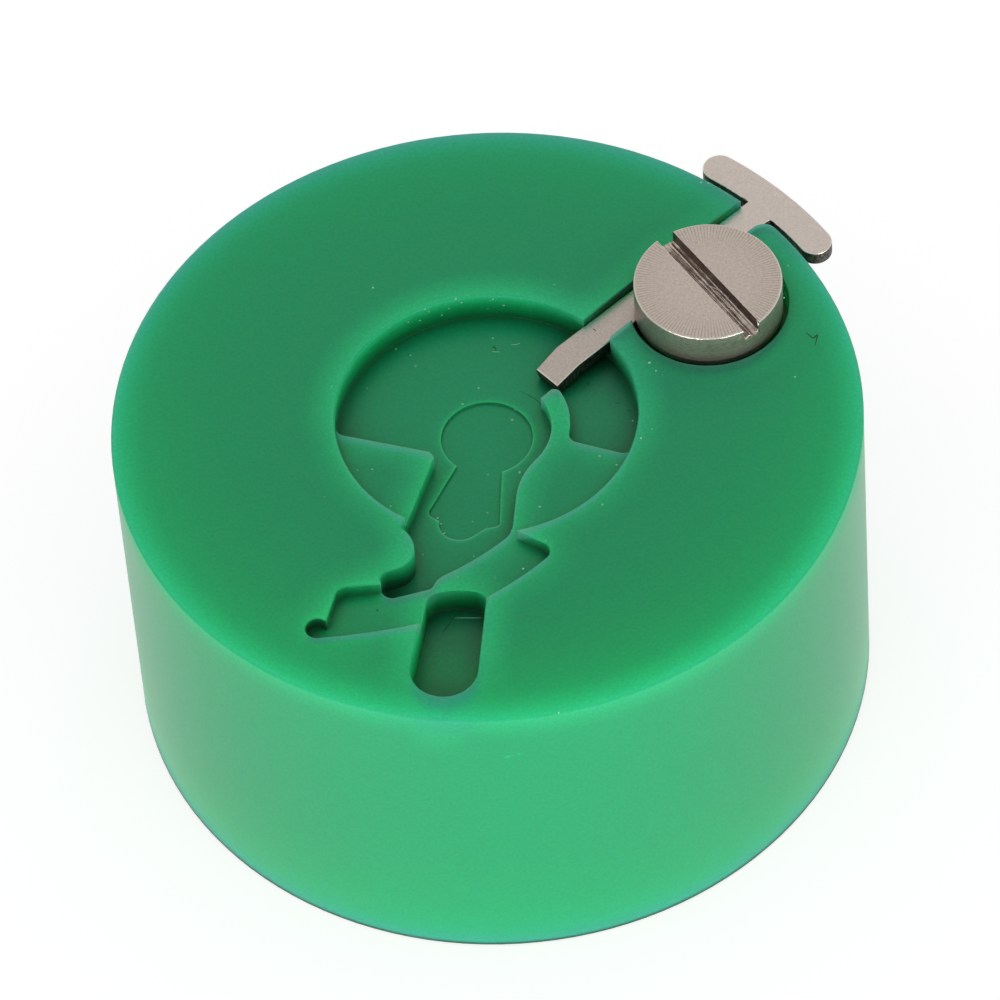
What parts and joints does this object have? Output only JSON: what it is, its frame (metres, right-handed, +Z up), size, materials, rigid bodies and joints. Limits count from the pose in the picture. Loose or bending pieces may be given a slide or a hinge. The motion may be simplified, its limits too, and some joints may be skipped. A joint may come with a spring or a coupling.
{
  "type": "watchmaker's holding block",
  "caption": "Round bench block whose milled nest holds one watch bridge under a T-handled slide that a slotted screw clamps.",
  "frame": {"origin": "middle of the block's flat underside", "axes": "+Z up out of the nest along the turned block's axis, +Y towards the side of the nest without the long oblong pocket, +X towards the side with the slide and screw"},
  "size_m": [0.032, 0.032, 0.0176],
  "materials": {
    "block": "turned and milled, slightly translucent",
    "slide": "flat-ground satin",
    "screw": "turned, fine lathe and tool marks"
  },
  "bodies": {
    "block": {"holding_block": "block"},
    "slide": {"t_slide": "slide"},
    "screw": {"slotted_screw": "screw"}
  },
  "joints": [
    {"name": "slide_travel", "type": "slide", "parent": "block", "child": "slide", "axis": [0.7727, 0.6347, 0], "range_m": [-0.0002, 0.0014]},
    {"name": "screw_turn", "type": "hinge", "parent": "block", "child": "screw", "pos_m": [0.00988, 0.00531, 0.015], "axis": [0, 0, 1], "range_deg": [0, 360]}
  ]
}
